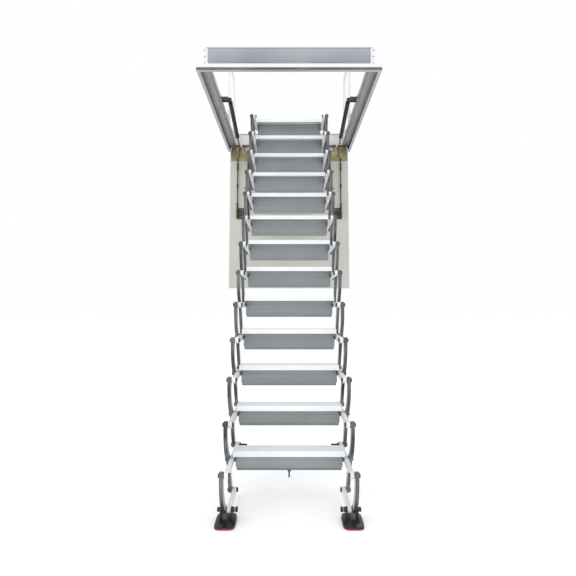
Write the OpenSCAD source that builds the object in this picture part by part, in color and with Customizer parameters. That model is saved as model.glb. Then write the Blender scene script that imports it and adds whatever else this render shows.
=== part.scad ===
// Ceiling hatch with a scissor (lazy-tongs) attic ladder, shown open and fully pulled down.
// Origin: centre of the hatch frame, on the underside of its trim. +Z is up.
// The feet stand towards -Y and the hinge of the hatch is at +Y. All sizes in millimetres.

/* [Ceiling frame] */
// Width of the trim ring, left to right
trim_width = 1066; // [900:1:1300]
// Length of the trim ring, front to back
trim_length = 1270; // [1100:1:1600]
// Width of the outer lip that stays visible round the closed hatch
lip_width = 20; // [12:1:40]
// Width of the ledge inside the lip, which the closed hatch lies against
ledge_width = 58; // [52:1:70]
// Depth from the underside of the trim to the ledge
rebate_depth = 34; // [32:1:45]
// Sheet thickness of the ledge and of the box walls
sheet = 3; // [2:0.5:6]
// Distance from the edge of the trim to the box wall at the sides and the front
wall_inset = 35; // [30:1:36]
// Distance from the rear edge of the trim to the rear wall of the box
rear_wall_inset = 15; // [12:1:18]
// Height of the box walls above the underside of the trim
box_top = 150; // [120:1:400]
// Diameter of the ceiling screw holes
screw_hole = 6; // [4:0.5:8]

/* [Hatch] */
// Clearance between the closed hatch and the lip
door_gap = 7; // [4:1:10]
// Thickness of the hatch door
door_thick = 26; // [18:1:26]
// Angle between the open hatch and the ceiling
door_open = 85; // [80:1:88]
// Distance from the rear lip to the hinge axis
hinge_inset = 18; // [16:1:24]
// Drop of the hinge axis below the underside of the trim
hinge_drop = 6; // [4:1:10]
// Diameter of the hinge pins
hinge_pin = 10; // [8:1:14]
// Thickness of the zinc-plated hinge plates
hinge_plate = 4; // [3:0.5:6]

/* [Ladder] */
// Number of steps
steps = 13; // [13:1:13]
// Length of each tread between the arms
tread_length = 528; // [400:1:600]
// Depth of each tread, front to back
tread_depth = 86; // [70:1:100]
// Height of the white nosing at the front of each tread
nosing = 26; // [18:1:28]
// Height of the sloping panel below each tread
panel_height = 123; // [80:1:130]
// Distance between the end pivots of each arm
arm_length = 404; // [360:1:460]
// Width of the arms
arm_width = 30; // [24:1:34]
// Thickness of the arms
arm_thick = 17; // [10:1:20]
// Slope of the ladder below the horizontal, in degrees
slope = 56.7; // [54:0.1:60]
// Forward bow of the outer arms
bow = 30; // [15:1:34]
// Diameter of the arm pivots
pivot = 12; // [8:1:14]
// Place of the first arm crossing behind the centre of the frame
first_y = 453; // [400:1:460]
// Height of the first arm crossing above the underside of the trim
first_z = 139; // [120:1:200]
// Step whose rear pivot hangs on the swing arms
hung_step = 4; // [4:1:4]

/* [Feet] */
// Height of the foot pivots above the floor
foot_height = 50; // [46:1:60]
// Width of each foot
foot_width = 92; // [84:1:100]
// Length of each foot, front to back
foot_length = 124; // [90:1:150]
// Reach of each foot in front of its pivot
foot_toe = 87; // [60:1:110]
// Height of each foot at its toe, above the sole
toe_height = 5; // [3:1:8]
// Thickness of the sole
sole = 7; // [5:1:10]

/* [Struts and rails] */
// Outside diameter of the strut tubes
strut_tube = 32; // [26:1:36]
// Diameter of the strut rods
strut_rod = 14; // [10:1:16]
// Sideways place of both struts from the middle
strut_x = 425; // [420:1:430]
// Diameter of the grab rails
rail_tube = 22; // [18:1:26]
// Height of the grab rails above the underside of the trim
rail_top = 585; // [400:1:900]

/* [Fits] */
// Radial clearance of running fits
running = 0.06; // [0.03:0.01:0.09]
// Side clearance between parts that turn on one pivot
side_gap = 0.2; // [0.1:0.05:0.4]
// Gap round a fixed pin or bolt, so that it stays a piece of its own
fixed = 0.02; // [0.01:0.01:0.03]

/* [Hidden] */
$fn = 64;
e = 1;
half_w = trim_width/2;
half_l = trim_length/2;
lip_x = half_w - lip_width;
lip_y = half_l - lip_width;
open_x = lip_x - ledge_width;
open_y = lip_y - ledge_width;
ledge_top = rebate_depth + sheet;
wall_x = half_w - wall_inset;
wall_front = half_l - wall_inset;
wall_rear = half_l - rear_wall_inset;
hinge_y = lip_y - hinge_inset;
hinge_z = -hinge_drop;
door_face = hinge_drop + door_thick;
leaf_face = door_face + hinge_plate;
lug_t = 6;
lug_r = 13;
lugs = [380, 484];
lever_x = strut_x - 4;
lever_t = 8;
lever_y = 10;
lever_z = door_face + 19;
half_arm = arm_length/2;
pitch = 2*half_arm*cos(slope);
step_y = pitch*cos(slope);
step_z = pitch*sin(slope);
b_turn = -(180 - 2*slope);
tread_x = tread_length/2;
plate_t = 4;
bolt_y = [-20, 20];
tread_top = 50;
tread_front = -46;
tread_rear = tread_front + tread_depth;
panel_lean = 12;
a_x = tread_x;
b_x = a_x + arm_thick + 4;
out_x = b_x + arm_thick;
head_t = 6;
swing_x = out_x + 38;
swing_t = 8;
hung_y = first_y - (hung_step - 1)*step_y + half_arm;
hung_z = first_z - (hung_step - 1)*step_z;
foot_y = first_y - steps*step_y;
foot_z = first_z - steps*step_z;
floor_z = foot_z - foot_height;
cheek_t = 6;
cheek_in = a_x - 10;
cheek_out = out_x + 4;
bracket_y = -33;
bracket_z = 130;
white = [0.93, 0.93, 0.92];
cream = [0.83, 0.81, 0.77];
zinc = [0.72, 0.62, 0.36];
grey = [0.60, 0.62, 0.63];
dark = [0.16, 0.16, 0.17];
bronze = [0.27, 0.22, 0.17];
red = [0.65, 0.14, 0.10];

// ---------- shared shapes ----------

module both_sides() {
    children();
    mirror([1, 0, 0]) children();
}

// A flat profile drawn in the YZ plane and thickened along X from x0
module plate_x(x0, t) {
    translate([x0, 0, 0]) rotate([90, 0, 90]) linear_extrude(t) children();
}

// A round bar along X from x0 to x1
module bar_x(x0, x1, d, y = 0, z = 0) {
    translate([x0, y, z]) rotate([0, 90, 0]) cylinder(d = d, h = x1 - x0);
}

module box_at(x0, x1, y0, y1, z0, z1) {
    translate([x0, y0, z0]) cube([x1 - x0, y1 - y0, z1 - z0]);
}

// A rectangular ring: outer half width, front, rear, border, bottom and top
module ring(x, front, rear, border, z0, z1) {
    difference() {
        box_at(-x, x, -front, rear, z0, z1);
        box_at(-x + border, x - border, -front + border, rear - border, z0 - e, z1 + e);
    }
}

// Moves a shape from the closed hatch, with the hinge axis at its origin, to the open hatch
module on_hatch() {
    translate([0, hinge_y, hinge_z]) rotate([door_open, 0, 0]) children();
}

// Moves a shape to the crossing of the arms of step i
module at_step(i) {
    translate([0, first_y - (i - 1)*step_y, first_z - (i - 1)*step_z]) children();
}

// ---------- ceiling frame ----------

module trim_ring() {
    color(white) difference() {
        union() {
            ring(half_w, half_l, half_l, lip_width, 0, ledge_top);
            ring(half_w - 1, half_l - 1, half_l - 1, lip_width + ledge_width - 1, rebate_depth, ledge_top);
        }
        for (sx = [-1, 1], sy = [-1, 1])
            translate([sx*(half_w - lip_width/2), sy*(half_l - 60), -e]) cylinder(d = screw_hole, h = ledge_top + 2*e);
        both_sides() box_at(lever_x - 16, lever_x + lever_t + 7, open_y - e, lip_y - 4, rebate_depth - e, ledge_top + e);
    }
}

module box_walls() {
    color(white) difference() {
        ring(wall_x, wall_front, wall_rear, sheet, ledge_top, box_top - sheet);
        for (sx = [-1, 1])
            translate([sx*20, -wall_front - e, ledge_top + 18]) rotate([-90, 0, 0]) cylinder(d = 7, h = sheet + 2*e);
    }
}

// A flat rim that stiffens the top of the box
module box_rim() {
    color(white) ring(wall_x, wall_front, wall_rear, 14, box_top - sheet, box_top);
}

// Angle posts in the corners of the box, each with a gusset plate on the ledge
module corner_posts() {
    post = 34;
    x = wall_x - sheet;
    color(white) for (sx = [-1, 1], rear = [false, true]) {
        y = rear ? wall_rear - sheet : -wall_front + sheet;
        in = rear ? -1 : 1;
        scale_x = [sx, 1, 1];
        scale(scale_x) difference() {
            translate([x - post, min(y, y + in*post), ledge_top]) cube([post, post, box_top - sheet - ledge_top]);
            translate([x - post - e, min(y + in*sheet, y + in*(post + e)), ledge_top + sheet])
                cube([post + e - sheet, post + e - sheet, box_top]);
        }
    }
}

// Two lugs on each side hang from the ledge and hold a hinge pin
module hinge_lugs() {
    color(zinc) both_sides() {
        for (x = lugs) difference() {
            plate_x(x, lug_t) union() {
                translate([hinge_y - lug_r, hinge_z]) square([2*lug_r, rebate_depth - hinge_z]);
                translate([hinge_y, hinge_z]) circle(lug_r);
            }
            bar_x(x - e, x + lug_t + e, hinge_pin, hinge_y, hinge_z);
        }
        bar_x(lugs[0] - 3, lugs[1] + lug_t + 3, hinge_pin, hinge_y, hinge_z);
    }
}

module strut_brackets() {
    x1 = wall_x - sheet;
    color(white) both_sides() {
        difference() {
            union() {
                box_at(x1 - 5, x1, bracket_y - 28, bracket_y + 28, bracket_z - 42, bracket_z + 16);
                box_at(strut_x + 9, x1, bracket_y - 14, bracket_y + 14, bracket_z - 14, bracket_z + 14);
            }
            box_at(strut_x + 15, x1 - 5, bracket_y - 9, bracket_y + 9, bracket_z - 15, bracket_z + 15);
            bar_x(strut_x + 8, strut_x + 16, hinge_pin, bracket_y, bracket_z);
        }
        bar_x(strut_x - 9, strut_x + 15, hinge_pin, bracket_y, bracket_z);
        bar_x(strut_x - 13, strut_x - 9, hinge_pin + 8, bracket_y, bracket_z);
    }
}

// A hoop over each side of the opening, clamped to the side walls
module grab_rails() {
    x = wall_x - sheet - 25;
    y0 = 235;
    y1 = 530;
    z0 = ledge_top + 23;
    r = 60;
    color(white) both_sides() {
        for (y = [y0, y1]) {
            translate([x, y, z0]) cylinder(d = rail_tube, h = rail_top - r - z0);
            box_at(x, wall_x - sheet, y - 15, y + 15, z0 + 10, z0 + 50);
        }
        translate([x, y0 + r, rail_top]) rotate([-90, 0, 0]) cylinder(d = rail_tube, h = y1 - y0 - 2*r);
        translate([x, y1 - r, rail_top - r]) rotate([90, 0, 90]) rotate_extrude(angle = 90)
            translate([r, 0]) circle(d = rail_tube);
        translate([x, y0 + r, rail_top - r]) rotate([90, 0, 90]) rotate([0, 0, 90]) rotate_extrude(angle = 90)
            translate([r, 0]) circle(d = rail_tube);
    }
}

// ---------- hatch ----------

door_x = lip_x - door_gap;
door_front = -(hinge_y + lip_y - door_gap);
door_rear = 10;
edging = 3;

// Room for the lugs and the knuckles in the rear edge of the door
module lug_notches() {
    both_sides() {
        bar_x(lugs[0], lugs[1] + lug_t, 2*hinge_pin + 1);
        for (x = lugs)
            box_at(x - 4, x + lug_t + 4, -lug_r - 5, door_rear + 20, 0, leaf_face + e);
    }
}

module door_panel() {
    color(cream) on_hatch() difference() {
        box_at(-door_x + edging, door_x - edging, door_front + edging, door_rear - edging, hinge_drop, door_face);
        lug_notches();
    }
}

// A thin strip round all four edges of the door
module door_edging() {
    color(white) on_hatch() difference() {
        box_at(-door_x, door_x, door_front, door_rear, hinge_drop, door_face);
        box_at(-door_x + edging, door_x - edging, door_front + edging, door_rear - edging, 0, door_face + e);
        lug_notches();
    }
}

leaf_in = 351;
leaf_out = 507 - door_gap;

// A plate on the door, wrapped round its rear edge to a knuckle on the hinge pin, with a lever for the strut
module hinge_plates() {
    k0 = lugs[0] + lug_t + side_gap;
    k1 = lugs[1] - side_gap;
    color(zinc) on_hatch() both_sides() {
        difference() {
            union() {
                box_at(leaf_in, leaf_out, -103, -20, door_face, leaf_face);
                box_at(k0 + 4, k1 - 4, -20 - e, door_rear + hinge_plate, door_face, leaf_face);
                box_at(k0 + 4, k1 - 4, door_rear, door_rear + hinge_plate, -6, leaf_face);
                box_at(k0 + 4, k1 - 4, 0, door_rear + hinge_plate, -6, hinge_drop);
                bar_x(k0, k1, 2*hinge_pin);
                plate_x(lever_x, lever_t) union() {
                    polygon([[-80, door_face], [-80, door_face + 10], [-4, lever_z + 10], [lever_y, lever_z],
                        [lever_y + 4, door_face]]);
                    translate([lever_y, lever_z]) circle(10);
                }
                box_at(434, 446, -103, -88, leaf_face, leaf_face + 18);
            }
            bar_x(k0 - e, k1 + e, hinge_pin + 2*running);
            bar_x(lever_x - e, lever_x + lever_t + e, hinge_pin, lever_y, lever_z);
            for (x = [372, 406, 464, 486])
                translate([x, -62, door_face - e]) cylinder(d = 9, h = hinge_plate + 2*e);
        }
        bar_x(lever_x - 13, lever_x + lever_t, hinge_pin, lever_y, lever_z);
    }
}

// Plates from the door to the hung knuckle of the ladder
module swing_arms() {
    foot = [-65, door_face + 26];
    foot_world = [hinge_y + foot[0]*cos(door_open) - foot[1]*sin(door_open),
        hinge_z + foot[0]*sin(door_open) + foot[1]*cos(door_open)];
    reach = [hung_y - foot_world[0], hung_z - foot_world[1]];
    color(zinc) both_sides() {
        difference() {
            union() {
                plate_x(swing_x, swing_t) union() {
                    translate([hung_y, hung_z]) circle(20);
                    translate(foot_world) circle(18);
                    translate(foot_world) rotate(atan2(reach[1], reach[0])) translate([0, -18]) square([norm(reach), 36]);
                }
                on_hatch() {
                    box_at(swing_x, 368, -92, -38, leaf_face, leaf_face + 6);
                    box_at(swing_x, swing_x + swing_t, -85, -45, leaf_face, foot[1]);
                }
            }
            bar_x(swing_x - e, swing_x + swing_t + e, pivot + 2*running, hung_y, hung_z);
        }
    }
}

// Blocks on the door that hold the lower ends of the stay rods
module door_brackets() {
    color(bronze) on_hatch() both_sides() difference() {
        union() {
            box_at(368, 446, -613, -520, door_face, door_face + 5);
            box_at(432, 446, -613, -540, door_face, door_face + 26);
            box_at(368, 380, -600, -530, door_face, door_face + 18);
        }
        for (x = [396, 416], y = [-595, -538])
            translate([x, y, door_face - e]) cylinder(d = 7, h = 7);
    }
}

module stay_rods() {
    color(dark) on_hatch() both_sides()
        translate([439, -540, leaf_face + 10]) rotate([-90, 0, 0]) cylinder(d = 9, h = 437);
}

// ---------- struts ----------

lever_world = [hinge_y + lever_y*cos(door_open) - lever_z*sin(door_open),
    hinge_z + lever_y*sin(door_open) + lever_z*cos(door_open)];
strut_run = [lever_world[0] - bracket_y, lever_world[1] - bracket_z];
strut_long = norm(strut_run);
tube_end = 445;

// Puts a shape drawn along +Z from the bracket pin onto the line of the strut
module on_strut() {
    translate([strut_x, bracket_y, bracket_z]) rotate([atan2(strut_run[1], strut_run[0]) - 90, 0, 0]) children();
}

module strut_tubes() {
    color(dark) both_sides() on_strut() {
        difference() {
            union() {
                rotate([0, 90, 0]) translate([0, 0, -8]) cylinder(d = 24, h = 16);
                translate([-6, -9, 8]) cube([12, 18, 24]);
                translate([0, 0, 28]) cylinder(d = strut_tube, h = tube_end - 28);
                translate([0, 0, tube_end - e]) cylinder(d = strut_tube - 4, h = 14);
            }
            rotate([0, 90, 0]) translate([0, 0, -9]) cylinder(d = hinge_pin + 2*running, h = 18);
            translate([0, 0, 60]) cylinder(d = strut_rod + 2*running, h = tube_end);
        }
    }
}

// Rods with an eye that is opened out so that the strut can follow the swing of the lever
module strut_rods() {
    eye = lever_x - strut_x - 2*side_gap;
    color(dark) both_sides() on_strut() difference() {
        union() {
            translate([0, 0, 180]) cylinder(d = strut_rod, h = strut_long - 180 - 24);
            rotate([0, 90, 0]) translate([-strut_long, 0, eye - 7]) cylinder(d = 24, h = 7);
            translate([eye - 7, -7, strut_long - 44]) cube([7, 14, 34]);
        }
        rotate([0, 90, 0]) translate([-strut_long, 0, eye - 9]) cylinder(d = hinge_pin + 5, h = 20);
    }
}

// ---------- ladder ----------

// One tread: ribbed top, nosing, sloping panel and end plates, centred on the arm crossing
module tread(i) {
    t = 2.5;
    low = tread_top - panel_height;
    end_low = -8;
    color(grey) at_step(i) difference() {
        union() {
            plate_x(-tread_x, tread_length) polygon([
                [tread_front, tread_top - nosing], [tread_front, tread_top - 2], [tread_front + 2, tread_top],
                [tread_rear, tread_top], [tread_rear + panel_lean, low], [tread_rear + panel_lean - 10, low],
                [tread_rear + panel_lean - 10, low + t], [tread_rear + panel_lean - t - 0.3, low + t],
                [tread_rear - t, tread_top - 4], [tread_front + 3, tread_top - 4], [tread_front + 3, tread_top - nosing]]);
            both_sides() plate_x(tread_x - plate_t, plate_t) polygon([
                [tread_front + 1, tread_top - nosing], [tread_front + 1, tread_top - 3], [tread_rear - 1, tread_top - 3],
                [tread_rear + 3, end_low], [tread_front + 22, end_low], [tread_front + 8, 4]]);
        }
        for (k = [0:6])
            translate([-tread_x - e, tread_front + 8 + 11*k, tread_top - 1]) cube([tread_length + 2*e, 4, 2]);
        both_sides() for (y = bolt_y) bar_x(tread_x - plate_t - e, tread_x + e, 8, y);
        both_sides() translate([0, tread_rear + panel_lean + e, 0]) rotate([90, 0, 0]) linear_extrude(40)
            polygon([[tread_x - 6, low - e], [tread_x + e, low - e], [tread_x + e, low + 24]]);
    }
}

// A pivot pin from x0 to x1 with a head at each end and a shoulder between the arms
module pivot_pin(x0, x1, y, head_in = 8, spacer = 0) {
    if (head_in > 0)
        bar_x(x0 - head_in, x0 - fixed, pivot + 10, y);
    bar_x(x0 - head_in, x1 + side_gap + head_t, pivot - 2*fixed, y);
    bar_x(a_x + arm_thick + fixed, b_x - side_gap, pivot + 12, y);
    if (spacer > 0)
        bar_x(out_x + side_gap, out_x + spacer - side_gap, pivot + 12, y);
    bar_x(x1 + side_gap, x1 + side_gap + head_t, pivot + 8, y);
}

// A bolt through the end plate of a tread into its arm
module tread_bolt(y) {
    bar_x(a_x - plate_t - 5, a_x - plate_t - fixed, 15, y);
    bar_x(a_x - plate_t - 5, a_x + 11, 8 - 2*fixed, y);
}

// A straight bar along Y with round ends, lightened by a shallow channel on its outer face
module straight_arm(x, y0, y1) {
    difference() {
        plate_x(x, arm_thick) union() {
            translate([y0, -arm_width/2]) square([y1 - y0, arm_width]);
            translate([y0, 0]) circle(d = arm_width);
            translate([y1, 0]) circle(d = arm_width);
        }
        if (y1 - y0 > 120) {
            channel = half_arm - 2*24;
            for (c = [y0 + 24 : half_arm : y1 - 24])
                if (c + channel < y1)
                    box_at(x + arm_thick - 2, x + arm_thick + e, c, c + channel, -8, 8);
        }
    }
}

module arm_bore(x, y, d) {
    bar_x(x - e, x + arm_thick + e, d, y);
}

// The pair of arms that carries step i, with its pivot pins and the bolts of the tread
module arms(i) {
    y1 = i == 1 ? 30 : half_arm;
    rear_pin = i == 1 ? [] : [half_arm];
    color(white) at_step(i) both_sides() {
        difference() {
            straight_arm(a_x, -half_arm, y1);
            arm_bore(a_x, -half_arm, pivot);
            arm_bore(a_x, 0, pivot);
            for (y = rear_pin) arm_bore(a_x, y, pivot);
            for (y = bolt_y) bar_x(a_x - e, a_x + 12, 8, y);
        }
        for (y = bolt_y) tread_bolt(y);
        pivot_pin(a_x, out_x, -half_arm);
        pivot_pin(a_x, out_x, 0, 0);
        for (y = rear_pin) {
            if (i == hung_step) pivot_pin(a_x, swing_x + swing_t, y, 8, swing_x - out_x);
            else pivot_pin(a_x, out_x, y);
            if (i == steps) bar_x(a_x - 41, a_x - 7, pivot - 2, y);
        }
    }
}

// A bar between two pivots a half arm apart, bowed towards -Z
module bowed_arm(x) {
    chord = half_arm/2;
    r = (chord*chord + bow*bow)/(2*bow);
    half_angle = asin(chord/r);
    n = 12;
    angles = [for (k = [-n:n]) k*half_angle/n];
    function arc(radius, a) = [-chord + radius*sin(a), r - bow - radius*cos(a)];
    plate_x(x, arm_thick) union() {
        polygon(concat(
            [for (a = angles) arc(r + arm_width/2, a)],
            [for (a = angles) arc(r - arm_width/2, -a)]));
        for (y = [-half_arm, 0]) translate([y, 0]) circle(d = arm_width + 4);
    }
}

// The outer pair of arms that crosses step i: bowed above the crossing and straight below it.
// The first pair ends in a stub above its crossing.
module links(i) {
    color(white) at_step(i) rotate([b_turn, 0, 0]) both_sides() difference() {
        union() {
            if (i > 1) bowed_arm(b_x);
            else straight_arm(b_x, -55, 0);
            if (i <= steps) straight_arm(b_x, 0, half_arm);
        }
        if (i > 1) arm_bore(b_x, -half_arm, pivot + 2*running);
        arm_bore(b_x, 0, pivot + 2*running);
        if (i <= steps) arm_bore(b_x, half_arm, pivot + 2*running);
    }
}

// The half arms between the last knuckles and the feet
module short_links() {
    color(white) at_step(steps + 1) both_sides() {
        difference() {
            straight_arm(a_x, 0, half_arm);
            arm_bore(a_x, 0, pivot);
            arm_bore(a_x, half_arm, pivot);
        }
        pivot_pin(a_x, out_x, half_arm);
        pivot_pin(cheek_in - side_gap, cheek_out + cheek_t, 0, 6);
        bar_x(cheek_in + cheek_t + side_gap, a_x - fixed, pivot + 12);
        bar_x(out_x + side_gap, cheek_out - side_gap, pivot + 12);
    }
}

// ---------- feet ----------

foot_mid = (cheek_in + cheek_out + cheek_t)/2;

module foot_bodies() {
    base = -foot_height + sole;
    top = -foot_height + 20;
    color(dark) translate([0, foot_y, foot_z]) both_sides() {
        difference() {
            union() {
                plate_x(foot_mid - foot_width/2, foot_width) polygon([
                    [-foot_toe, base], [-foot_toe, base + toe_height], [-15, top],
                    [foot_length - foot_toe, top], [foot_length - foot_toe, base]]);
                for (x = [cheek_in, cheek_out])
                    plate_x(x, cheek_t) union() {
                        circle(13);
                        polygon([[-24, base + 2], [24, base + 2], [13, 0], [-13, 0]]);
                    }
            }
            for (x = [cheek_in, cheek_out])
                bar_x(x - e, x + cheek_t + e, pivot + 2*running);
        }
    }
}

module foot_soles() {
    rib = 3;
    color(red) translate([0, foot_y, floor_z]) both_sides() difference() {
        translate([foot_mid - foot_width/2 - 1.5, -foot_toe - 1.5, 0]) cube([foot_width + 3, foot_length + 3, sole]);
        for (y = [8 - foot_toe : 8 : foot_length - foot_toe - 8])
            translate([foot_mid - foot_width/2 - 4, y - rib/2, -e]) cube([foot_width + 8, rib, e + 2]);
    }
}

// A round hook under the lowest tread, for a pull pole
module hook() {
    d = 8;
    r = 12;
    drop = 16;
    low = tread_top - panel_height;
    y = tread_rear + panel_lean - 6;
    color(dark) at_step(steps) translate([0, y, low]) {
        translate([0, 0, -drop]) cylinder(d = d, h = drop);
        translate([0, 0, -4]) cylinder(d = 18, h = 4);
        translate([0, -r, -drop]) rotate([90, 0, 90]) rotate([0, 0, 180]) rotate_extrude(angle = 180)
            translate([r, 0]) circle(d = d);
    }
}

// ---------- output ----------

trim_ring();
box_walls();
box_rim();
corner_posts();
hinge_lugs();
strut_brackets();
grab_rails();
door_panel();
door_edging();
hinge_plates();
swing_arms();
door_brackets();
stay_rods();
strut_tubes();
strut_rods();
for (i = [1:steps]) {
    tread(i);
    arms(i);
}
for (i = [1:steps + 1])
    links(i);
short_links();
foot_bodies();
foot_soles();
hook();
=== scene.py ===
"""Attic ladder: looks, small fittings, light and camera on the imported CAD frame."""
import math

import bmesh
import bpy
from mathutils import Matrix, Vector


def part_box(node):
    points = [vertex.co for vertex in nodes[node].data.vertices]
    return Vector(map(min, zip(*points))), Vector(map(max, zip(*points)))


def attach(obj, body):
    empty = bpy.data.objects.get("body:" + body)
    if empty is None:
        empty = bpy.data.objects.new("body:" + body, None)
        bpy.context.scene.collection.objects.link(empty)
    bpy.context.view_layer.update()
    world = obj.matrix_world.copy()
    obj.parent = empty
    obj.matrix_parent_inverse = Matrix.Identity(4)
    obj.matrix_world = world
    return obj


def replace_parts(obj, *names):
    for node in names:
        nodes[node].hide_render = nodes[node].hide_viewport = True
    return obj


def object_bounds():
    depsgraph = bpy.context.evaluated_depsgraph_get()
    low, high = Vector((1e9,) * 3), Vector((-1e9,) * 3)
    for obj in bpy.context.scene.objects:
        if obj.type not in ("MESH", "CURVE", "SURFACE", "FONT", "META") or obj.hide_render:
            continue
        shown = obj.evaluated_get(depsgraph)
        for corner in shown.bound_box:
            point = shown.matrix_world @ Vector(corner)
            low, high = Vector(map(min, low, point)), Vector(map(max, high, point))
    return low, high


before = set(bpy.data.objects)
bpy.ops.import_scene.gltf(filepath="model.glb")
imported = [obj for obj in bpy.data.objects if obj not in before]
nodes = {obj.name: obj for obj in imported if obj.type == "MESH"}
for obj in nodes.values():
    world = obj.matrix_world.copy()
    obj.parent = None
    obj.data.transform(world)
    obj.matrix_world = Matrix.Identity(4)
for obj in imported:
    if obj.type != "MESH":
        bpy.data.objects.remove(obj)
cad_low, cad_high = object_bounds()
scene = bpy.context.scene

STEPS = 13
MM = 0.001
RAIL_X = 0.470               # grab rails, sideways from the middle
RAIL_POSTS_Y = (0.235, 0.530)
ROD_X = 439                  # stay rods on the door, in millimetres
FOOT_X = 0.283               # middle of each foot
FOOT_TOE = 0.087             # reach of a foot in front of its pivot

# ---------- camera ----------

CAMERA_DISTANCE = 3.0115     # in front of the middle of the hatch frame
CAMERA_DROP = 1.3488         # below the trim
LENS = 25.96
camera_data = bpy.data.cameras.new("camera")
camera_data.lens = LENS
camera_data.sensor_width = 36
camera_data.shift_x = -0.002
camera_data.shift_y = 0.0307
camera_data.clip_end = 200
camera = bpy.data.objects.new("camera", camera_data)
camera.location = (0, -CAMERA_DISTANCE, -CAMERA_DROP)
camera.rotation_euler = (math.radians(90), 0, 0)
scene.collection.objects.link(camera)
scene.camera = camera
scene.view_settings.view_transform = "Standard"


# ---------- materials ----------

class Nodes:
    """A small builder for one material's node tree."""

    def __init__(self, name, **shader):
        self.material = bpy.data.materials.new(name)
        self.material.use_nodes = True
        self.tree = self.material.node_tree
        self.shader = self.tree.nodes["Principled BSDF"]
        self.coords = self.add("ShaderNodeTexCoord")
        for key, value in shader.items():
            self.shader.inputs[key.replace("_", " ")].default_value = value

    def add(self, kind, **values):
        node = self.tree.nodes.new(kind)
        for key, value in values.items():
            setattr(node, key, value)
        return node

    def link(self, source, target):
        self.tree.links.new(source, target)

    def noise(self, scale, detail=4.0, stretch=(1, 1, 1), space="Object"):
        mapping = self.add("ShaderNodeMapping")
        mapping.inputs["Scale"].default_value = stretch
        self.link(self.coords.outputs[space], mapping.inputs["Vector"])
        node = self.add("ShaderNodeTexNoise")
        node.inputs["Scale"].default_value = scale
        node.inputs["Detail"].default_value = detail
        self.link(mapping.outputs["Vector"], node.inputs["Vector"])
        return node.outputs["Fac"]

    def ramp(self, value, low, high, start=0.35, stop=0.65):
        node = self.add("ShaderNodeValToRGB")
        first, last = node.color_ramp.elements
        first.position, last.position = start, stop
        first.color, last.color = (*low, 1), (*high, 1)
        self.link(value, node.inputs["Fac"])
        return node.outputs["Color"]

    def math(self, operation, first, second=0.0):
        node = self.add("ShaderNodeMath", operation=operation)
        for socket, value in zip(node.inputs, (first, second)):
            if isinstance(value, (int, float)):
                socket.default_value = value
            else:
                self.link(value, socket)
        return node.outputs["Value"]

    def blend(self, factor, first, second):
        node = self.add("ShaderNodeMix", data_type="RGBA")
        self.link(factor, node.inputs["Factor"])
        for socket, value in ((node.inputs[6], first), (node.inputs[7], second)):
            if isinstance(value, tuple):
                socket.default_value = (*value, 1)
            else:
                self.link(value, socket)
        return node.outputs[2]

    def range(self, value, low, high):
        node = self.add("ShaderNodeMapRange")
        node.inputs["To Min"].default_value = low
        node.inputs["To Max"].default_value = high
        self.link(value, node.inputs["Value"])
        return node.outputs["Result"]

    def axis(self, name, space="Object"):
        node = self.add("ShaderNodeSeparateXYZ")
        self.link(self.coords.outputs[space], node.inputs["Vector"])
        return node.outputs[name]

    def colour(self, socket):
        self.link(socket, self.shader.inputs["Base Color"])

    def rough(self, socket):
        self.link(socket, self.shader.inputs["Roughness"])

    def bump(self, height, distance, strength=1.0):
        node = self.add("ShaderNodeBump")
        node.inputs["Distance"].default_value = distance
        node.inputs["Strength"].default_value = strength
        self.link(height, node.inputs["Height"])
        previous = self.shader.inputs["Normal"]
        if previous.is_linked:
            self.link(previous.links[0].from_socket, node.inputs["Normal"])
        self.link(node.outputs["Normal"], previous)


def coated(name, light, shade, roughness=0.38, peel=0.00008):
    """Powder coat: orange peel, faint clouding and a few duller patches."""
    m = Nodes(name, Metallic=0.0, IOR=1.5)
    m.colour(m.ramp(m.noise(3.5, 6), shade, light))
    m.rough(m.range(m.noise(14, 5), roughness - 0.08, roughness + 0.14))
    m.bump(m.noise(900, 2), peel)
    return m


def white_coat():
    return coated("white_coat", (0.80, 0.81, 0.82), (0.72, 0.73, 0.745))


def trim_coat():
    """White outer edge, with painted shade: the faces that look down are grey, the lip darker than the ledge,
    the faces that look sideways are dark grey, and the other low faces of the lip are near black.
    """
    m = coated("trim_coat", (0.80, 0.81, 0.82), (0.74, 0.75, 0.76))
    white = m.shader.inputs["Base Color"].links[0].from_socket
    down = m.math("LESS_THAN", m.axis("Z", "Normal"), -0.5)
    lip = m.math("LESS_THAN", m.axis("Z"), 0.02)
    low = m.math("LESS_THAN", m.axis("Z"), 0.016)
    side = m.math("GREATER_THAN", m.math("ABSOLUTE", m.axis("X", "Normal")), 0.5)
    # painted shade on the faces that look down, darker on the lip than on the ledge
    under = m.blend(lip, m.ramp(m.noise(4, 5), (0.26, 0.264, 0.27), (0.33, 0.335, 0.34)),
                    m.ramp(m.noise(4, 5), (0.36, 0.363, 0.37), (0.44, 0.443, 0.45)))
    # painted shade: the faces that look sideways are dark grey
    side_shaded = m.blend(side, white, m.ramp(m.noise(5, 5), (0.17, 0.173, 0.18), (0.24, 0.244, 0.25)))
    # painted shade: the low faces of the lip, except those looking down, are near black
    rim = m.blend(low, side_shaded, m.ramp(m.noise(12, 4), (0.085, 0.085, 0.088), (0.14, 0.14, 0.145)))
    m.colour(m.blend(down, rim, under))
    return m


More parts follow.
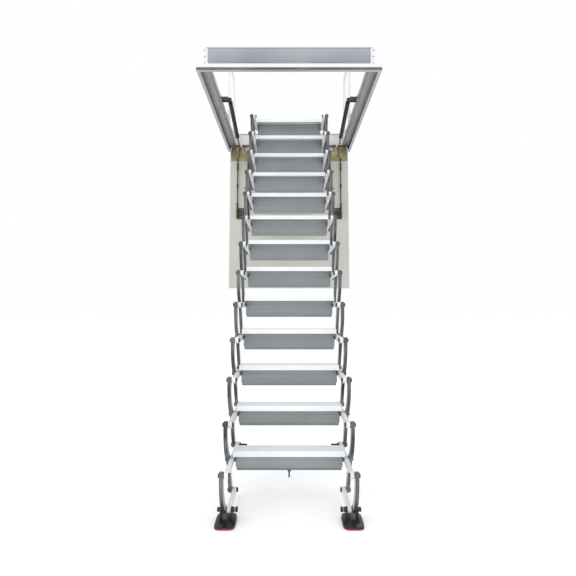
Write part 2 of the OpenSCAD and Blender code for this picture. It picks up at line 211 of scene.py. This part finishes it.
def box_coat():
    """White inside and at the corners, with a dark top edge; the outside of the front wall is painted
    blue-grey as shade, darker towards the bottom.
    """
    m = coated("box_coat", (0.86, 0.865, 0.87), (0.80, 0.805, 0.815))
    white = m.shader.inputs["Base Color"].links[0].from_socket
    # painted shade: the outside of the front wall between the corners is blue-grey
    front = m.math("LESS_THAN", m.axis("Y", "Normal"), -0.5)
    centre = m.math("LESS_THAN", m.math("ABSOLUTE", m.axis("X")), 0.474)
    outside = m.math("LESS_THAN", m.axis("Y"), -0.5985)
    shaded_front = m.math("MULTIPLY", m.math("MULTIPLY", front, centre), outside)
    # the painted shade on the front wall is darker towards its bottom
    fade = m.range(m.axis("Z", "Generated"), 0.0, 1.0)
    grey = m.blend(fade, m.ramp(m.noise(3, 5), (0.22, 0.225, 0.26), (0.29, 0.295, 0.33)),
                   m.ramp(m.noise(3, 5), (0.33, 0.335, 0.37), (0.40, 0.405, 0.435)))
    body = m.blend(shaded_front, white, grey)
    top = m.math("MULTIPLY", m.math("GREATER_THAN", m.axis("Z"), 0.1462),
                 m.math("LESS_THAN", m.axis("Y"), -0.585))
    m.colour(m.blend(top, body, m.ramp(m.noise(40, 3), (0.03, 0.03, 0.033), (0.07, 0.07, 0.075))))
    return m


def arm_coat():
    """White arms; the pins and bolts in them are dark steel, told apart by their place across the ladder."""
    m = Nodes("arm_coat", IOR=1.5)
    paint = m.ramp(m.noise(3.5, 6), (0.66, 0.665, 0.68), (0.82, 0.825, 0.835))
    across = m.math("ABSOLUTE", m.axis("X"))
    inboard = m.math("LESS_THAN", across, 0.26385)
    outboard = m.math("GREATER_THAN", across, 0.28115)
    pins = m.math("MAXIMUM", inboard, outboard)
    steel = m.ramp(m.noise(60, 3), (0.018, 0.018, 0.02), (0.07, 0.07, 0.075))
    m.colour(m.blend(pins, paint, steel))
    m.rough(m.range(m.noise(14, 5), 0.3, 0.5))
    m.bump(m.noise(900, 2), 0.00008)
    return m


def link_coat():
    """Outer arms: satin anodised metal, painted darker on the narrow edges and along the rim of the bar as
    shade and dark reflection.
    """
    m = Nodes("link_coat", Metallic=0.62, IOR=1.5)
    face = m.math("GREATER_THAN", m.math("ABSOLUTE", m.axis("X", "Normal")), 0.5)
    flat = m.ramp(m.noise(5, 5), (0.30, 0.302, 0.31), (0.46, 0.463, 0.475))
    # painted shade and dark reflection on the narrow edges and the rim of the bar
    edge = m.ramp(m.noise(7, 5), (0.05, 0.05, 0.053), (0.20, 0.20, 0.207))
    m.colour(m.blend(face, edge, flat))
    m.rough(m.range(m.noise(30, 4), 0.24, 0.42))
    m.bump(m.noise(700, 2), 0.00007)
    return m


def tread_coat():
    """White nosing, a little brighter than the white top as painted highlight, on a lengthwise brushed tread
    whose body is painted grey as shade.
    """
    m = Nodes("tread_coat", IOR=1.5)
    depth = m.axis("Y", "Generated")
    height = m.axis("Z", "Generated")
    # painted highlight: the nosing is a little brighter than the top
    front = m.math("LESS_THAN", depth, 0.034)
    upper = m.math("GREATER_THAN", height, 0.78)
    nosing = m.math("MULTIPLY", front, upper)
    brushed = m.noise(90, 4, (0.02, 1, 1))
    # painted shade: the tread body below the nosing and the top is grey, with brushed grain and clouding
    grey = m.ramp(brushed, (0.29, 0.31, 0.318), (0.375, 0.397, 0.405))
    cloudy_shade = m.ramp(m.noise(5, 5), (0.305, 0.325, 0.332), (0.36, 0.38, 0.387))
    body = m.add("ShaderNodeMix", data_type="RGBA", blend_type="MIX")
    body.inputs["Factor"].default_value = 0.45
    m.link(grey, body.inputs[6])
    m.link(cloudy_shade, body.inputs[7])
    # the top keeps the tread's own white
    top = m.math("MULTIPLY", m.math("GREATER_THAN", height, 0.955), m.math("LESS_THAN", depth, 0.86))
    treading = m.blend(top, body.outputs[2], m.ramp(brushed, (0.74, 0.745, 0.75), (0.84, 0.845, 0.85)))
    m.colour(m.blend(nosing, treading, m.ramp(m.noise(9, 5), (0.83, 0.84, 0.85), (0.90, 0.905, 0.91))))
    m.rough(m.range(brushed, 0.3, 0.52))
    m.bump(brushed, 0.00012)
    m.bump(m.noise(900, 2), 0.00006)
    return m


def board_paint():
    """Cream board: a fine sprayed texture and a slightly darker foot."""
    m = Nodes("board_paint", IOR=1.46)
    height = m.axis("Z", "Generated")
    paint = m.ramp(m.noise(2.2, 6), (0.57, 0.55, 0.50), (0.65, 0.63, 0.585))
    fade = m.range(height, 0.35, 0.0)
    m.colour(m.blend(m.math("MULTIPLY", fade, m.noise(1.3, 3)), paint, (0.49, 0.47, 0.42)))
    m.rough(m.range(m.noise(9, 5), 0.45, 0.62))
    m.bump(m.noise(420, 3), 0.0002)
    return m


def zinc(name="zinc", dark_before=None):
    """Yellow passivate: bands of gold, olive and rose over rolled steel, near black in front of a given Y."""
    m = Nodes(name, Metallic=0.9, Specular_IOR_Level=0.5)
    bands = m.noise(16, 3, (1, 0.6, 0.6))
    warm = m.ramp(bands, (0.36, 0.27, 0.115), (0.52, 0.45, 0.30), 0.38, 0.62)
    rose = m.blend(m.math("GREATER_THAN", m.noise(28, 2), 0.56), warm, (0.40, 0.36, 0.22))
    if dark_before is None:
        m.colour(rose)
    else:
        lever = m.math("LESS_THAN", m.axis("Y"), dark_before)
        m.colour(m.blend(lever, rose, m.ramp(m.noise(50, 4), (0.05, 0.048, 0.032), (0.13, 0.115, 0.07))))
    m.rough(m.range(m.noise(50, 4), 0.26, 0.5))
    m.bump(m.noise(240, 3, (0.1, 1, 1)), 0.00009)
    return m


def dark_paint(name="dark_paint", light=(0.055, 0.055, 0.058), shade=(0.022, 0.022, 0.024), roughness=0.32):
    m = Nodes(name, IOR=1.5)
    m.colour(m.ramp(m.noise(30, 4), shade, light))
    m.rough(m.range(m.noise(40, 4), roughness - 0.08, roughness + 0.12))
    m.bump(m.noise(600, 2), 0.0001)
    return m


def strut_paint():
    """Black tube with an olive brass cap at its lower end."""
    m = Nodes("strut_paint", IOR=1.5)
    cap = m.math("GREATER_THAN", m.axis("Y", "Generated"), 0.962)
    black = m.ramp(m.noise(30, 4), (0.008, 0.008, 0.009), (0.022, 0.022, 0.024))
    brass = m.ramp(m.noise(40, 3), (0.20, 0.165, 0.07), (0.33, 0.28, 0.13))
    m.colour(m.blend(cap, black, brass))
    m.rough(m.range(m.noise(20, 4), 0.22, 0.4))
    m.bump(m.noise(500, 2), 0.00006)
    return m


def rod_chrome():
    m = Nodes("rod_chrome", Metallic=1.0)
    m.colour(m.ramp(m.noise(80, 3, (1, 0.05, 0.2)), (0.42, 0.42, 0.43), (0.58, 0.58, 0.59)))
    m.rough(m.range(m.noise(60, 3), 0.12, 0.24))
    m.bump(m.noise(700, 2), 0.00003)
    return m


def bronze():
    m = Nodes("bronze", Metallic=0.55)
    m.colour(m.ramp(m.noise(45, 4), (0.045, 0.036, 0.022), (0.105, 0.085, 0.055)))
    m.rough(m.range(m.noise(40, 4), 0.35, 0.55))
    m.bump(m.noise(300, 3), 0.0002)
    return m


def moulded(name, light, shade, roughness, grain):
    m = Nodes(name, IOR=1.48)
    m.colour(m.ramp(m.noise(20, 4), shade, light))
    m.rough(m.range(m.noise(30, 4), roughness - 0.1, roughness + 0.1))
    m.bump(m.noise(650, 3), grain)
    return m


WHITE = white_coat().material
TRIM = trim_coat().material
BOX = box_coat().material
ARM = arm_coat().material
LINK = link_coat().material
TREAD = tread_coat().material
BOARD = board_paint().material
ZINC = zinc().material
HINGE_ZINC = zinc("hinge_zinc", 0.552).material
DARK = dark_paint().material
STRUT = strut_paint().material
CHROME = rod_chrome().material
BRONZE = bronze().material
PLASTIC = moulded("foot_plastic", (0.013, 0.013, 0.0135), (0.006, 0.006, 0.0065), 0.3, 0.00012).material
RUBBER = moulded("sole_rubber", (0.30, 0.028, 0.018), (0.17, 0.016, 0.011), 0.6, 0.0003).material
SEAL = moulded("seal_rubber", (0.30, 0.30, 0.31), (0.20, 0.20, 0.21), 0.6, 0.0002).material
STEEL = dark_paint("screw_steel", (0.30, 0.30, 0.31), (0.16, 0.16, 0.17), 0.3).material

NODE_MATERIALS = {
    "trim_ring": TRIM, "box_walls": BOX, "box_rim": BOX, "corner_posts": WHITE, "strut_brackets": BRONZE,
    "grab_rails": WHITE, "door_edging": WHITE, "door_panel": BOARD,
    "hinge_lugs": ZINC, "hinge_plates": HINGE_ZINC, "swing_arms": ZINC,
    "door_brackets": BRONZE, "stay_rods": DARK, "strut_tubes": STRUT, "strut_rods": CHROME,
    "short_links": ARM, "foot_bodies": PLASTIC, "foot_soles": RUBBER, "hook": DARK,
}
for i in range(1, STEPS + 1):
    NODE_MATERIALS[f"tread_{i}"] = TREAD
    NODE_MATERIALS[f"arms_{i}"] = ARM
for i in range(1, STEPS + 2):
    NODE_MATERIALS[f"links_{i}"] = LINK
for name, material in NODE_MATERIALS.items():
    slots = nodes[name].material_slots
    for slot in slots:
        slot.material = material


# ---------- small fittings ----------

def finish_piece(name, mesh, material, body, smooth_angle=35):
    """Makes an object of a bmesh, shades it, gives it a material and lets it ride."""
    data = bpy.data.meshes.new(name)
    bmesh.ops.remove_doubles(mesh, verts=mesh.verts, dist=1e-6)
    bmesh.ops.recalc_face_normals(mesh, faces=mesh.faces)
    mesh.to_mesh(data)
    mesh.free()
    data.materials.append(material)
    piece = bpy.data.objects.new(name, data)
    scene.collection.objects.link(piece)
    data.shade_smooth()
    data.set_sharp_from_angle(angle=math.radians(smooth_angle))
    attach(piece, body)
    return piece


def lathe(mesh, profile, place, sides=32, knurl=0.0):
    """Turns (radius, height) points about +Z, then moves the result by place."""
    rings = []
    for radius, height in profile:
        if radius < 1e-7:
            rings.append([mesh.verts.new(place @ Vector((0, 0, height)))])
            continue
        ring = []
        for k in range(sides):
            angle = 2*math.pi*k/sides
            r = radius*(1 - knurl*(k % 2))
            ring.append(mesh.verts.new(place @ Vector((r*math.cos(angle), r*math.sin(angle), height))))
        rings.append(ring)
    for low, high in zip(rings, rings[1:]):
        for k in range(sides):
            a, b = k, (k + 1) % sides
            corners = [low[a % len(low)], low[b % len(low)], high[b % len(high)], high[a % len(high)]]
            unique = list(dict.fromkeys(corners))
            if len(unique) > 2:
                mesh.faces.new(unique)


def facing(point, direction):
    """A matrix that puts +Z along direction at point."""
    turn = Vector(direction).to_track_quat("Z", "Y").to_matrix().to_4x4()
    return Matrix.Translation(point) @ turn


def pan_head(mesh, point, direction, radius=0.0055):
    """A domed screw head with a six-sided drive recess, standing on a face."""
    r = radius
    place = facing(point, direction)
    lathe(mesh, [(0, -0.0002), (r, -0.0002), (r, 0.16*r), (0.93*r, 0.36*r), (0.72*r, 0.54*r),
                 (0.42*r, 0.6*r)], place, 24)
    lathe(mesh, [(0.42*r, 0.6*r), (0.40*r, 0.56*r), (0.40*r, 0.2*r), (0, 0.2*r)], place, 6)


def screws(name, points, direction, body, radius=0.0055, material=STEEL):
    mesh = bmesh.new()
    for point in points:
        pan_head(mesh, Vector(point), direction, radius)
    return finish_piece(name, mesh, material, body)


# The door's own directions: along it towards the hinge, and out of its inner face
OPEN = math.radians(85)
HINGE = Vector((0, 0.597, -0.006))
ALONG = Vector((0, math.cos(OPEN), math.sin(OPEN)))
OUT = Vector((0, -math.sin(OPEN), math.cos(OPEN)))


def on_door(x, along, out):
    """A point on the open hatch from its place in the closed one, in millimetres from the hinge axis."""
    return HINGE + ALONG*along*MM + OUT*out*MM + Vector((x*MM, 0, 0))


DOOR_FACE = 32
LEAF_FACE = 36
screws("leaf_screws", [on_door(side*x, -62, LEAF_FACE) for x in (372, 406, 464, 486) for side in (-1, 1)],
       OUT, "hatch", 0.0062)
screws("bracket_screws",
       [on_door(side*x, y, DOOR_FACE + 5) for x in (396, 416) for y in (-595, -538) for side in (-1, 1)],
       OUT, "hatch", 0.0052)
screws("swing_screws", [on_door(side*358, y, LEAF_FACE + 6) for y in (-80, -50) for side in (-1, 1)],
       OUT, "hatch", 0.0060)

wall_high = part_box("box_walls")[1]
post_low, post_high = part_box("corner_posts")
SHEET = 0.003
for side in (-1, 1):
    hand = "left" if side < 0 else "right"
    inner = side*(wall_high.x - SHEET)
    bracket_face = inner - side*0.005
    screws(f"strut_bracket_screws_{hand}",
           [(bracket_face, y, z) for y in (-0.053, -0.013) for z in (0.096, 0.106)],
           (-side, 0, 0), "frame", 0.0042)
    post_face = inner - side*SHEET
    screws(f"post_rivets_{hand}",
           [(post_face, y, z) for y in (post_low.y + 0.018, post_high.y - 0.018)
            for z in (0.055, 0.092, 0.129)],
           (-side, 0, 0), "frame", 0.0038, WHITE)

for side in (-1, 1):
    hand = "left" if side < 0 else "right"
    rail_x = side*RAIL_X
    screws(f"rail_screws_{hand}",
           [(rail_x + side*0.013, y - 0.0148, z) for y in RAIL_POSTS_Y for z in (0.078, 0.102)],
           (0, -1, 0), "frame", 0.0036)


def seal_strip():
    """A soft bulb seal under the ledge, on the three free sides of the opening."""
    x, front, rear, z = 0.466, -0.568, 0.470, 0.034
    route = [Vector((-x, rear, z)), Vector((-x, front, z)), Vector((x, front, z)), Vector((x, rear, z))]
    section = [(-0.006, 0.0), (-0.006, -0.0012), (-0.0035, -0.0016), (-0.003, -0.0032), (0.0, -0.0042),
               (0.003, -0.0032), (0.0035, -0.0016), (0.006, -0.0012), (0.006, 0.0)]
    mesh = bmesh.new()
    rings = []
    for k, point in enumerate(route):
        before = (point - route[max(k - 1, 0)]).normalized()
        after = (route[min(k + 1, len(route) - 1)] - point).normalized()
        along = (before + after).normalized()
        across = along.cross(Vector((0, 0, 1))).normalized()
        widen = 1/max(across.dot((after if after.length else before).cross(Vector((0, 0, 1)))), 0.5)
        rings.append([mesh.verts.new(point + across*a*widen + Vector((0, 0, b))) for a, b in section])
    for low, high in zip(rings, rings[1:]):
        for a in range(len(section)):
            b = (a + 1) % len(section)
            mesh.faces.new([low[a], low[b], high[b], high[a]])
    mesh.faces.new(rings[0])
    mesh.faces.new(rings[-1])
    return finish_piece("frame_seal", mesh, SEAL, "frame")


seal_strip()


def shoe(mesh, middle, size, base, top, heel_y=None, toe_share=1.0):
    """A rounded block from base to top that draws in towards its top, for a shoe or, downwards, its sole.
    In front of heel_y the top falls to toe_share of its height at the toe."""
    levels = [(0.985, 0.0), (1.0, 0.12), (1.0, 0.55), (0.985, 0.80), (0.95, 0.94), (0.88, 1.0)]
    sides = 56
    rings = []
    for scale, share in levels:
        ring = []
        for k in range(sides):
            a = 2*math.pi*k/sides
            c, s = math.cos(a), math.sin(a)
            x = math.copysign(abs(c)**0.45, c)*size[0]/2*scale
            y = math.copysign(abs(s)**0.45, s)*size[1]/2*scale
            ahead = 0.0 if heel_y is None else max(0.0, heel_y - middle.y - y)/(heel_y - middle.y + size[1]/2)
            drop = 1 - (1 - toe_share)*ahead
            ring.append(mesh.verts.new((middle.x + x, middle.y + y, base + (top - base)*share*drop)))
        rings.append(ring)
    for low, high in zip(rings, rings[1:]):
        for k in range(sides):
            b = (k + 1) % sides
            mesh.faces.new([low[k], low[b], high[b], high[k]])
    mesh.faces.new(rings[0])
    mesh.faces.new(rings[-1])


def cheek(mesh, x0, x1, pivot, foot_z):
    """A bored side plate with eased edges, from the shoe up to the pivot."""
    sides = 48
    drop = pivot.z - foot_z

    def reach(angle):
        c, s = math.cos(angle), math.sin(angle)
        if s > -0.05:
            return 0.013
        spread = 0.013 + 0.011*min(1, -s*0.04/drop)
        return max(0.013, min(drop/-s, spread/max(abs(c), 1e-6)))

    loops = []
    for x, ease in ((x0, 0.001), (x0 + 0.001, 0), (x1 - 0.001, 0), (x1, 0.001)):
        loops.append([mesh.verts.new((x, pivot.y + (reach(a) - ease)*math.cos(a),
                                      pivot.z + (reach(a) - ease)*math.sin(a)))
                      for a in (2*math.pi*k/sides for k in range(sides))])
    bore = [[mesh.verts.new((x, pivot.y + 0.0061*math.cos(a), pivot.z + 0.0061*math.sin(a)))
             for a in (2*math.pi*k/sides for k in range(sides))] for x in (x0, x1)]
    for low, high in ((bore[0], loops[0]), *zip(loops, loops[1:]), (loops[-1], bore[1]), (bore[1], bore[0])):
        for k in range(sides):
            b = (k + 1) % sides
            mesh.faces.new([low[k], low[b], high[b], high[k]])


def feet():
    low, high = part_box("foot_bodies")
    pivot_z = high.z - 0.013
    pivot_y = low.y + FOOT_TOE
    mesh = bmesh.new()
    for side in (-1, 1):
        middle = Vector((side*FOOT_X, (low.y + high.y)/2, 0))
        shoe(mesh, middle, (0.092, high.y - low.y), low.z, low.z + 0.0128, pivot_y - 0.015, 0.37)
        for near in (0.254, 0.306):
            x0, x1 = sorted((side*near, side*(near + 0.006)))
            cheek(mesh, x0, x1, Vector((0, pivot_y, pivot_z)), low.z + 0.0105)
    shoes = finish_piece("foot_shoes", mesh, PLASTIC, "feet", 40)
    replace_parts(shoes, "foot_bodies")
    sole_low, sole_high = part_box("foot_soles")
    soles = bmesh.new()
    for side in (-1, 1):
        middle = Vector((side*FOOT_X, (sole_low.y + sole_high.y)/2, 0))
        shoe(soles, middle, (0.0945, sole_high.y - sole_low.y - 0.0005), sole_high.z, sole_low.z)
    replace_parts(finish_piece("foot_rubber", soles, RUBBER, "feet", 40), "foot_soles")
    for side in (-1, 1):
        hand = "left" if side < 0 else "right"
        cap = bmesh.new()
        place = facing(Vector((side*0.3184, pivot_y, pivot_z)), (side, 0, 0))
        lathe(cap, [(0, 0.0002), (0.0098, 0.0002), (0.0105, 0.0012), (0.0105, 0.0055), (0.009, 0.007),
                    (0, 0.0074)], place, 48, 0.05)
        finish_piece(f"foot_cap_{hand}", cap, PLASTIC, "feet", 50)
        inner = facing(Vector((side*0.2476, pivot_y, pivot_z)), (-side, 0, 0))
        knob = bmesh.new()
        lathe(knob, [(0, 0.0062), (0.0105, 0.0062), (0.012, 0.0075), (0.012, 0.0135), (0.0105, 0.015),
                     (0, 0.0155)], inner, 48, 0.07)
        finish_piece(f"foot_knob_{hand}", knob, PLASTIC, "feet", 50)
        collar = bmesh.new()
        lathe(collar, [(0, 0.0002), (0.0085, 0.0002), (0.0095, 0.0012), (0.0095, 0.0052), (0.0085, 0.006),
                       (0, 0.006)], inner, 6)
        finish_piece(f"foot_collar_{hand}", collar, ZINC, "feet")


feet()


def box_corners():
    """Folded corner angles on the outside of the front wall, each with a three-cornered gusset."""
    low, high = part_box("box_walls")
    for side in (-1, 1):
        hand = "left" if side < 0 else "right"
        mesh = bmesh.new()
        x = side*high.x
        outline = [(x, 0.0375), (x, 0.1495), (x - side*0.016, 0.1495), (x - side*0.016, 0.075),
                   (x - side*0.044, 0.0375)]
        back = [mesh.verts.new((a, low.y - 0.0001, b)) for a, b in outline]
        face = [mesh.verts.new((a, low.y - 0.0022, b)) for a, b in outline]
        mesh.faces.new(back)
        mesh.faces.new(face)
        for k in range(len(outline)):
            b = (k + 1) % len(outline)
            mesh.faces.new([back[k], back[b], face[b], face[k]])
        bmesh.ops.bevel(mesh, geom=list(mesh.edges), offset=0.0006, segments=2, affect="EDGES")
        finish_piece(f"box_corner_{hand}", mesh, WHITE, "frame")
        screws(f"box_corner_rivets_{hand}",
               [(x - side*0.008, low.y - 0.0022, z) for z in (0.056, 0.095, 0.134)],
               (0, -1, 0), "frame", 0.0036, STEEL)


box_corners()


def rod_fittings():
    """A turnbuckle sleeve with lock nuts near each end of the stay rods, and a hexagon nut at the lever."""
    for side in (-1, 1):
        hand = "left" if side < 0 else "right"
        mesh = bmesh.new()
        for along, length in ((-505, 34), (-330, 12), (-165, 46)):
            place = facing(on_door(side*ROD_X, along, LEAF_FACE + 10), ALONG)
            half = length*MM/2
            lathe(mesh, [(0.0047, -half - 0.006), (0.0085, -half - 0.006), (0.0092, -half - 0.005),
                         (0.0092, -half - 0.001), (0.0085, -half)], place, 6)
            lathe(mesh, [(0.0068, -half), (0.0074, -half + 0.001), (0.0074, half - 0.001), (0.0068, half)],
                  place, 24)
            lathe(mesh, [(0.0085, half), (0.0092, half + 0.001), (0.0092, half + 0.005),
                         (0.0085, half + 0.006), (0.0047, half + 0.006)], place, 6)
        finish_piece(f"rod_fittings_{hand}", mesh, BRONZE, "hatch")
        bolt = bmesh.new()
        for y, radius in ((-580, 0.0085), (-556, 0.0075)):
            place = facing(on_door(side*374, y, DOOR_FACE + 18), OUT)
            lathe(bolt, [(0, 0.0001), (radius + 0.003, 0.0001), (radius + 0.003, 0.0014), (radius, 0.0014)],
                  place, 32)
            lathe(bolt, [(radius, 0.0014), (radius, 0.0062), (radius - 0.0012, 0.0072), (0, 0.0072)],
                  place, 6)
        finish_piece(f"bracket_bolts_{hand}", bolt, DARK, "hatch")


rod_fittings()


# ---------- stage and light ----------

def plane(name, size, location, material):
    bpy.ops.mesh.primitive_plane_add(size=size, location=location)
    obj = bpy.context.object
    obj.name = name
    obj.data.materials.append(material)
    return obj


floor_paint = Nodes("floor_paint", IOR=1.4)
floor_paint.colour(floor_paint.ramp(floor_paint.noise(0.8, 4), (0.90, 0.90, 0.90), (0.93, 0.93, 0.93)))
floor_paint.shader.inputs["Emission Color"].default_value = (0.97, 0.985, 1.0, 1)
floor_paint.shader.inputs["Emission Strength"].default_value = 0.12
floor_paint.rough(floor_paint.range(floor_paint.noise(6, 4), 0.6, 0.75))
plane("floor", 60, (0, 0, cad_low.z), floor_paint.material)

world = bpy.data.worlds.new("studio")
scene.world = world
world.use_nodes = True
world.node_tree.nodes["Background"].inputs["Color"].default_value = (0.97, 0.985, 1.0, 1)
world.node_tree.nodes["Background"].inputs["Strength"].default_value = 1.02


def soft_light(name, location, target, size, power):
    data = bpy.data.lights.new(name, "AREA")
    data.size = size
    data.energy = power
    lamp = bpy.data.objects.new(name, data)
    lamp.location = location
    lamp.rotation_euler = (Vector(target) - Vector(location)).to_track_quat("-Z", "Y").to_euler()
    scene.collection.objects.link(lamp)


middle = (cad_low + cad_high)/2
soft_light("key", (-2.6, -3.6, 2.4), middle, 2.4, 42)
soft_light("fill", (3.4, -3.0, 0.6), middle, 3.0, 14)
soft_light("front", (0, -5.2, -0.6), middle, 3.0, 6)
soft_light("back", (0.8, 3.6, 2.2), middle, 2.6, 26)
